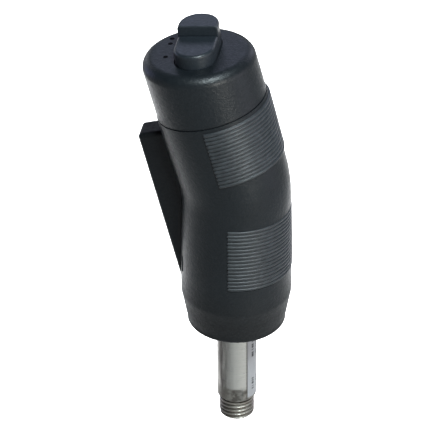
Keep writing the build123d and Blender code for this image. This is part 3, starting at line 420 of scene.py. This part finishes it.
def make_mesh(name, points, faces, crease, place=None):
    """Closed mesh with smooth faces, moved by place if there is one."""
    mesh = bpy.data.meshes.new(name)
    mesh.from_pydata(points, [], faces)
    mesh.validate()
    mesh.update()
    if place is not None:
        mesh.transform(place)
    smooth_by_angle(mesh, crease)
    return mesh


def add_piece(mesh, slot, node, materials):
    """Puts the mesh on the handle, in the finish of its slot, where it stands for the CAD node."""
    mesh.materials.append(materials[slot])
    piece = bpy.data.objects.new(mesh.name, mesh)
    bpy.context.scene.collection.objects.link(piece)
    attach(piece, "handle")
    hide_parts(node)
    return piece


# ---- threaded pieces, in millimetres -------------------------------------------------------------
TURNED_CREASE = radians(28)
NOSE_STEPS, INLET_STEPS = 240, 120
NOSE_THREAD, BARREL, NOSE_BORE = 8.0, 9.1, 6.1
NOSE_PITCH, NOSE_THREAD_HEIGHT = 2.0, 1.15
NOSE_CHAMFER, NOSE_RELIEF, RELIEF_WIDTH = 1.0, 0.9, 0.9
THREAD_RUNOUT = 1.2
SHOULDER = 1.1
FLATS_HALF, FLATS_TOP = 8.0, 7.5
FLANGE, FLANGE_THICKNESS, SLEEVE_BORE = 45.6, 4.5, 16.0
INLET_PITCH, INLET_THREAD_HEIGHT, INLET_CHAMFER = 1.337, 0.86, 1.3


def lathe_piece(name, rows, steps, radius_at, place):
    """Closed ring of mesh: rows of (z, key) round Z, each point's radius given by radius_at."""
    points = []
    for z, key in rows:
        for step in range(steps):
            angle = 2 * pi * step / steps
            radius = radius_at(angle, z, key)
            points.append((radius * cos(angle), radius * sin(angle), z))
    faces = []
    for row in range(len(rows)):
        for step in range(steps):
            after = (step + 1) % steps
            below, above = row * steps, (row + 1) % len(rows) * steps
            faces.append((below + step, below + after, above + after, above + step))
    return make_mesh(name, points, faces, TURNED_CREASE, place)


def thread_depth(phase, flat_crest, flat_root):
    """How far below the crest a 60-degree thread lies, from 0 at the crest to 1 at the root."""
    away = abs(phase - floor(phase) - 0.5) * 2
    ramp = (away - flat_crest) / (1 - flat_crest - flat_root)
    ramp = min(max(ramp, 0.0), 1.0)
    return ramp * ramp * (3 - 2 * ramp) * 0.35 + ramp * 0.65


def span(start, stop, step):
    count = max(1, round(abs(stop - start) / step))
    return [start + (stop - start) * index / count for index in range(count + 1)]


def make_nose(materials):
    """Nose, barrel and motor sleeve in one turned piece, with the real thread and wrench flats."""
    low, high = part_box("motor_housing")
    bottom, top, sleeve = low.z / MM, high.z / MM, high.x / MM
    rows = [(bottom, "bore"), (bottom, "tip")]
    rows += [(z, "thread") for z in span(bottom + 0.02, 0, 0.09)]
    rows += [(z, "barrel") for z in span(0.05, FLATS_TOP, 0.25)]
    rows += [(FLATS_TOP + 0.02, "barrel")]
    rows += [(z, "barrel") for z in span(FLATS_TOP + 1, FLANGE, 4)]
    rows += [(FLANGE, "sleeve"), (top, "sleeve"), (top, "inner")]
    rows += [(FLANGE + FLANGE_THICKNESS, "inner"), (FLANGE + FLANGE_THICKNESS, "bore")]
    plain = {"bore": NOSE_BORE, "inner": SLEEVE_BORE, "sleeve": sleeve, "tip": NOSE_THREAD - NOSE_CHAMFER}

    def radius_at(angle, z, key):
        if key in plain:
            return plain[key]
        if key == "barrel":
            on_flats = z < FLATS_TOP + 0.01
            flat = FLATS_HALF / max(abs(sin(angle)), 0.01) if on_flats else BARREL
            return min(BARREL, NOSE_THREAD + min(z, SHOULDER), flat)
        fade = min(max((-z - RELIEF_WIDTH) / THREAD_RUNOUT, 0.0), 1.0)
        share = thread_depth(z / NOSE_PITCH - angle / (2 * pi), 0.2, 0.22)
        relieved = NOSE_THREAD - NOSE_RELIEF if -RELIEF_WIDTH < z < -0.12 else NOSE_THREAD
        chamfer = NOSE_THREAD - NOSE_CHAMFER + z - bottom
        return min(NOSE_THREAD - NOSE_THREAD_HEIGHT * share * fade, chamfer, relieved)

    mesh = lathe_piece("nose_and_sleeve", rows, NOSE_STEPS, radius_at, Matrix.Scale(MM, 4))
    add_piece(mesh, "turned_steel", "motor_housing", materials)


def find_mount(name):
    return next(mount for mount in frame["record"]["mounts"] if mount["name"] == name)


def make_inlet(materials):
    """Inlet bushing with its internal pipe thread and a chamfered mouth."""
    low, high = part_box("inlet_bushing")
    mount = find_mount("air_inlet")
    outer, crest = (high.x - low.x) / 2 / MM, mount["dims"]["r_mm"]
    length = (high.y - low.y) / MM
    rows = [(0, "outer"), (length, "outer")]
    rows += [(z, "thread") for z in span(length, 0, 0.08)]

    def radius_at(angle, z, key):
        if key == "outer":
            return outer
        share = 1 - thread_depth(z / INLET_PITCH - angle / (2 * pi), 0.2, 0.2)
        mouth = crest + INLET_CHAMFER - (length - z)
        return max(crest + INLET_THREAD_HEIGHT * share, mouth)

    centre = Matrix.Translation((mount["pos_m"][0], low.y, mount["pos_m"][2]))
    place = centre @ Matrix.Rotation(radians(-90), 4, "X") @ Matrix.Scale(MM, 4)
    mesh = lathe_piece("threaded_bushing", rows, INLET_STEPS, radius_at, place)
    add_piece(mesh, "turned_steel", "inlet_bushing", materials)


# ---- ribbed palm pads, in millimetres ------------------------------------------------------------
RIB_PITCH = 1.87
RIB_DEPTH = 0.7
RIB_STEPS = 16
GROOVE_FLOOR = 0.18
GROOVE_WALL = 0.36
RIB_CROWN = 0.42
RIB_COLUMNS = 60
RIB_END = radians(1.3)
RIB_END_DROP = 0.4
SOFT_CREASE = radians(50)


def find_joint(name):
    return next(joint for joint in frame["joints"] if joint["name"] == name)


def lean_frame():
    """Matrix of the upper grip's frame, with its origin where the two grip axes cross."""
    across = Vector(find_joint("throttle_slide")["axis"])
    along = Vector((-across.z, 0, across.x))
    inlet = Vector(find_mount("air_inlet")["pos_m"])
    height = inlet.z - along.z * inlet.x / along.x
    turn = Matrix((across, Vector((0, 1, 0)), along)).transposed().to_4x4()
    return Matrix.Translation((0, 0, height)) @ turn


def groove_share(share):
    """How deep the rib profile lies across one pitch: grooves at its ends, a crowned crest between."""
    away = min(share, 1 - share) * 2
    wall = min(max((away - GROOVE_FLOOR) / GROOVE_WALL, 0), 1)
    crown = (1 - away) ** 2 * RIB_CROWN
    return 1 - wall * wall * (3 - 2 * wall) * (1 - crown)


def end_drop(angle):
    """How far the rounded ends of a rib fall below its crest."""
    lead = max(0, 1 - (pi / 2 - abs(angle)) / RIB_END)
    return RIB_END_DROP * lead * lead


def pad_outline(node, inverse):
    """The CAD pad's ends along its axis, and the crest and seat radius at each of its steps."""
    corners = [inverse @ vertex.co for vertex in frame["nodes"][node].data.vertices]
    low, high = min(corner.z for corner in corners) / MM, max(corner.z for corner in corners) / MM
    crests, seats = {}, {}
    for corner in corners:
        level = round((corner.z / MM - low) / RIB_PITCH)
        radius = hypot(corner.x, corner.y) / MM
        crests[level] = max(crests.get(level, 0), radius)
        seats[level] = min(seats.get(level, radius), radius)
    return low, high, crests, seats


def shell_faces(rows, columns):
    """Faces of a closed sheet: a front grid, a back grid after it, and the strip round their edges."""
    back = rows * columns
    faces = []
    for row in range(rows - 1):
        for column in range(columns - 1):
            front = row * columns + column
            behind = front + back
            faces.append((front, front + 1, front + columns + 1, front + columns))
            faces.append((behind, behind + columns, behind + columns + 1, behind + 1))
    for row in range(rows - 1):
        start, stop = row * columns, row * columns + columns - 1
        faces.append((start, start + columns, start + columns + back, start + back))
        faces.append((stop, stop + back, stop + columns + back, stop + columns))
    for column in range(columns - 1):
        top = (rows - 1) * columns + column
        faces.append((column, column + back, column + back + 1, column + 1))
        faces.append((top, top + 1, top + 1 + back, top + back))
    return faces


def make_pad(name, node, axes, materials):
    """Ribbed pad over the palm half, following the CAD pad's own outline."""
    low, high, crests, seats = pad_outline(node, axes.inverted())
    ribs = round((high - low) / RIB_PITCH)
    pitch = (high - low) / ribs
    heights = [low + pitch * step / RIB_STEPS for step in range(ribs * RIB_STEPS + 1)]
    angles = [pi / 2 * sin(pi / 2 * step / RIB_COLUMNS) for step in range(-RIB_COLUMNS, RIB_COLUMNS + 1)]

    def between(radii, z):
        level = (z - low) / RIB_PITCH
        first = int(level)
        near = radii.get(first, radii[0])
        return near + (radii.get(first + 1, near) - near) * (level - first)

    points = []
    for side in ("face", "back"):
        for index, z in enumerate(heights):
            crest = between(crests, z) - RIB_DEPTH * groove_share(index % RIB_STEPS / RIB_STEPS)
            seat = between(seats, z)
            for angle in angles:
                radius = crest - end_drop(angle) if side == "face" else seat
                points.append(axes @ (Vector((radius * cos(angle), radius * sin(angle), z)) * MM))
    mesh = make_mesh(name, points, shell_faces(len(heights), len(angles)), SOFT_CREASE)
    add_piece(mesh, "pad_rubber", node, materials)


# ---- throttle spring -----------------------------------------------------------------------------
SPRING_TURNS = 5
SPRING_WIRE = 0.35
SPRING_STEPS = 36
WIRE_STEPS = 12


def make_spring(materials):
    """Throttle return spring, coiled along the CAD spring's length; the real one shortens as the poppet is pushed
    towards the valve's plug, but this mesh keeps its length.
    """
    slide = find_joint("throttle_slide")
    along = Vector(slide["axis"])
    across, side = Vector((-along.z, 0, along.x)), Vector((0, 1, 0))
    corners = [vertex.co for vertex in frame["nodes"]["throttle_spring"].data.vertices]
    start, stop = min(c.dot(along) for c in corners), max(c.dot(along) for c in corners)
    inner, outer = min(c.dot(across) for c in corners), max(c.dot(across) for c in corners)
    wire = SPRING_WIRE * MM
    radius = (outer - inner) / 2 - wire
    middle = across * (inner + outer) / 2
    count = SPRING_TURNS * SPRING_STEPS
    points, faces = [], []
    for step in range(count + 1):
        angle = 2 * pi * step / SPRING_STEPS
        spoke = across * cos(angle) + side * sin(angle)
        centre = middle + along * (start + wire + (stop - start - 2 * wire) * step / count)
        for turn in range(WIRE_STEPS):
            around = 2 * pi * turn / WIRE_STEPS
            points.append(centre + spoke * (radius + wire * cos(around)) + along * wire * sin(around))
    for step in range(count):
        for turn in range(WIRE_STEPS):
            near, after = step * WIRE_STEPS, (turn + 1) % WIRE_STEPS
            far = near + WIRE_STEPS
            faces.append((near + turn, near + after, far + after, far + turn))
    faces.append(tuple(reversed(range(WIRE_STEPS))))
    faces.append(tuple(range(count * WIRE_STEPS, (count + 1) * WIRE_STEPS)))
    mesh = make_mesh("return_spring", points, faces, SOFT_CREASE)
    piece = add_piece(mesh, "spring_steel", "throttle_spring", materials)
    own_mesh(piece)


# ---- scene ---------------------------------------------------------------------------------------
def main():
    bpy.context.scene.view_settings.view_transform = "Standard"
    add_camera()
    add_world()
    add_floor()
    add_lights()
    materials = make_materials()
    dress_nodes(materials)
    make_nose(materials)
    make_inlet(materials)
    make_spring(materials)
    make_pad("lower_ribs", "lower_grip_pad", Matrix.Identity(4), materials)
    make_pad("upper_ribs", "upper_grip_pad", lean_frame(), materials)


main()
